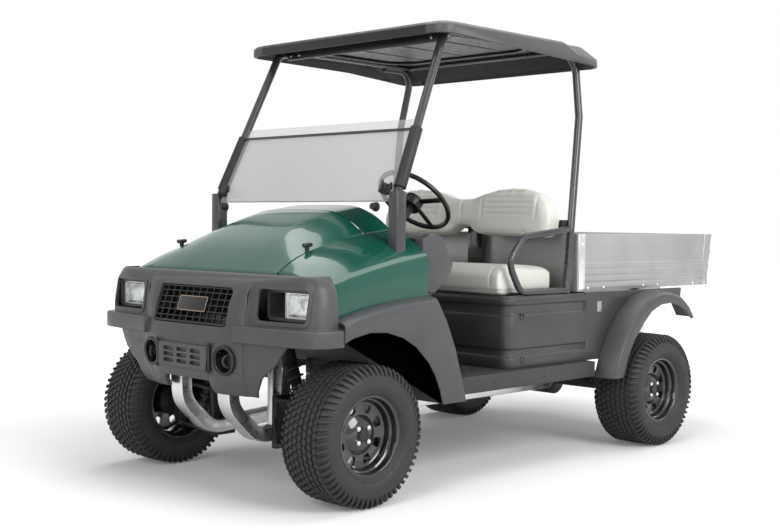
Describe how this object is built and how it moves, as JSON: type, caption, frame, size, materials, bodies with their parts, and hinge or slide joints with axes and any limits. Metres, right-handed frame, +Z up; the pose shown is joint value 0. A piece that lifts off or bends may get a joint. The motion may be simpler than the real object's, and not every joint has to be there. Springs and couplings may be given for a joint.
{
  "type": "utility vehicle",
  "caption": "Open two-seat utility vehicle with a moulded canopy, flip windshield, steered front wheels, bench seat and a tipping aluminium load bed with tailgate.",
  "frame": {"origin": "on the ground, under the middle of the overall length and width", "axes": "+Z up, the nose points along -Y, the vehicle's left side is +X"},
  "size_m": [1.544, 3.151, 2.003],
  "materials": {
    "plastic": "fine grained charcoal moulding",
    "green": "glossy dark green",
    "tube": "dark grey powder coat",
    "black_steel": "glossy black enamel",
    "rubber": "dull black rubber",
    "tyre": "dull black with a fine turf tread",
    "bed_aluminium": "mill finish, ribbed low on the sides",
    "frame_aluminium": "bright extruded",
    "vinyl": "light grey vinyl with sewn channels",
    "clear": "light grey tinted acrylic",
    "lamp": "clear lens in a dark bucket"
  },
  "bodies": {
    "chassis": {"frame": "frame_aluminium", "engine": "black_steel", "rear_axle": "black_steel", "floorboard": "plastic", "front_body": "green", "fascia": "plastic", "grille": "plastic", "bumper_plate": "plastic", "dash": "plastic", "steering_column": "black_steel", "pedals": "black_steel", "seat_pod": "plastic", "seat_back": "vinyl", "seat_back_bracket": "black_steel", "roof_frame": "tube", "canopy": "plastic", "windshield_lower": "clear", "windshield_upper": "clear", "front_suspension_left": "black_steel", "headlamp_left": "lamp", "front_flare_left": "plastic", "rear_flare_left": "plastic", "strut_front_left": "tube", "strut_rear_left": "tube", "windshield_seal_left": "rubber", "front_suspension_right": "black_steel", "headlamp_right": "lamp", "front_flare_right": "plastic", "rear_flare_right": "plastic", "strut_front_right": "tube", "strut_rear_right": "tube", "windshield_seal_right": "rubber"},
    "hood": {"hood": "green"},
    "bed": {"bed": "bed_aluminium"},
    "tailgate": {"tailgate": "bed_aluminium"},
    "seat_bottom": {"seat_bottom": "vinyl"},
    "steering_wheel": {"steering_wheel": "rubber"},
    "knuckle_left": {"knuckle_left": "black_steel"},
    "wheel_front_left": {"rim_front_left": "black_steel", "tyre_front_left": "tyre"},
    "wheel_rear_left": {"rim_rear_left": "black_steel", "tyre_rear_left": "tyre"},
    "knuckle_right": {"knuckle_right": "black_steel"},
    "wheel_front_right": {"rim_front_right": "black_steel", "tyre_front_right": "tyre"},
    "wheel_rear_right": {"rim_rear_right": "black_steel", "tyre_rear_right": "tyre"}
  },
  "joints": [
    {"name": "steer_left", "type": "hinge", "parent": "chassis", "child": "knuckle_left", "pos_m": [0.52, -1.1955, 0.2855], "axis": [0, 0, 1], "range_deg": [-28, 28]},
    {"name": "roll_front_left", "type": "hinge", "parent": "knuckle_left", "child": "wheel_front_left", "pos_m": [0.625, -1.1955, 0.2855], "axis": [1, 0, 0], "continuous": true},
    {"name": "roll_rear_left", "type": "hinge", "parent": "chassis", "child": "wheel_rear_left", "pos_m": [0.645, 0.8715, 0.2855], "axis": [1, 0, 0], "continuous": true},
    {"name": "steer_right", "type": "hinge", "parent": "chassis", "child": "knuckle_right", "pos_m": [-0.52, -1.1955, 0.2855], "axis": [0, 0, 1], "range_deg": [-28, 28]},
    {"name": "roll_front_right", "type": "hinge", "parent": "knuckle_right", "child": "wheel_front_right", "pos_m": [-0.625, -1.1955, 0.2855], "axis": [1, 0, 0], "continuous": true},
    {"name": "roll_rear_right", "type": "hinge", "parent": "chassis", "child": "wheel_rear_right", "pos_m": [-0.645, 0.8715, 0.2855], "axis": [1, 0, 0], "continuous": true},
    {"name": "steering", "type": "hinge", "parent": "chassis", "child": "steering_wheel", "pos_m": [0.315, -0.5275, 1.228], "axis": [0, 0.6947, 0.7193], "range_deg": [-392, 392]},
    {"name": "hood_lift", "type": "hinge", "parent": "chassis", "child": "hood", "pos_m": [0, -0.9675, 1.176], "axis": [-1, 0, 0], "range_deg": [0, 50]},
    {"name": "bed_tip", "type": "hinge", "parent": "chassis", "child": "bed", "pos_m": [0, 1.2545, 0.752], "axis": [-1, 0, 0], "range_deg": [0, 45]},
    {"name": "tailgate_drop", "type": "hinge", "parent": "bed", "child": "tailgate", "pos_m": [0, 1.5355, 0.802], "axis": [-1, 0, 0], "range_deg": [0, 90]},
    {"name": "seat_lift", "type": "hinge", "parent": "chassis", "child": "seat_bottom", "pos_m": [0, -0.2105, 0.7933], "axis": [1, 0, 0], "range_deg": [0, 65]}
  ],
  "couplings": [
    {"joint": "steer_right", "follows": "steer_left", "ratio": 1},
    {"joint": "steering", "follows": "steer_left", "ratio": 14}
  ]
}
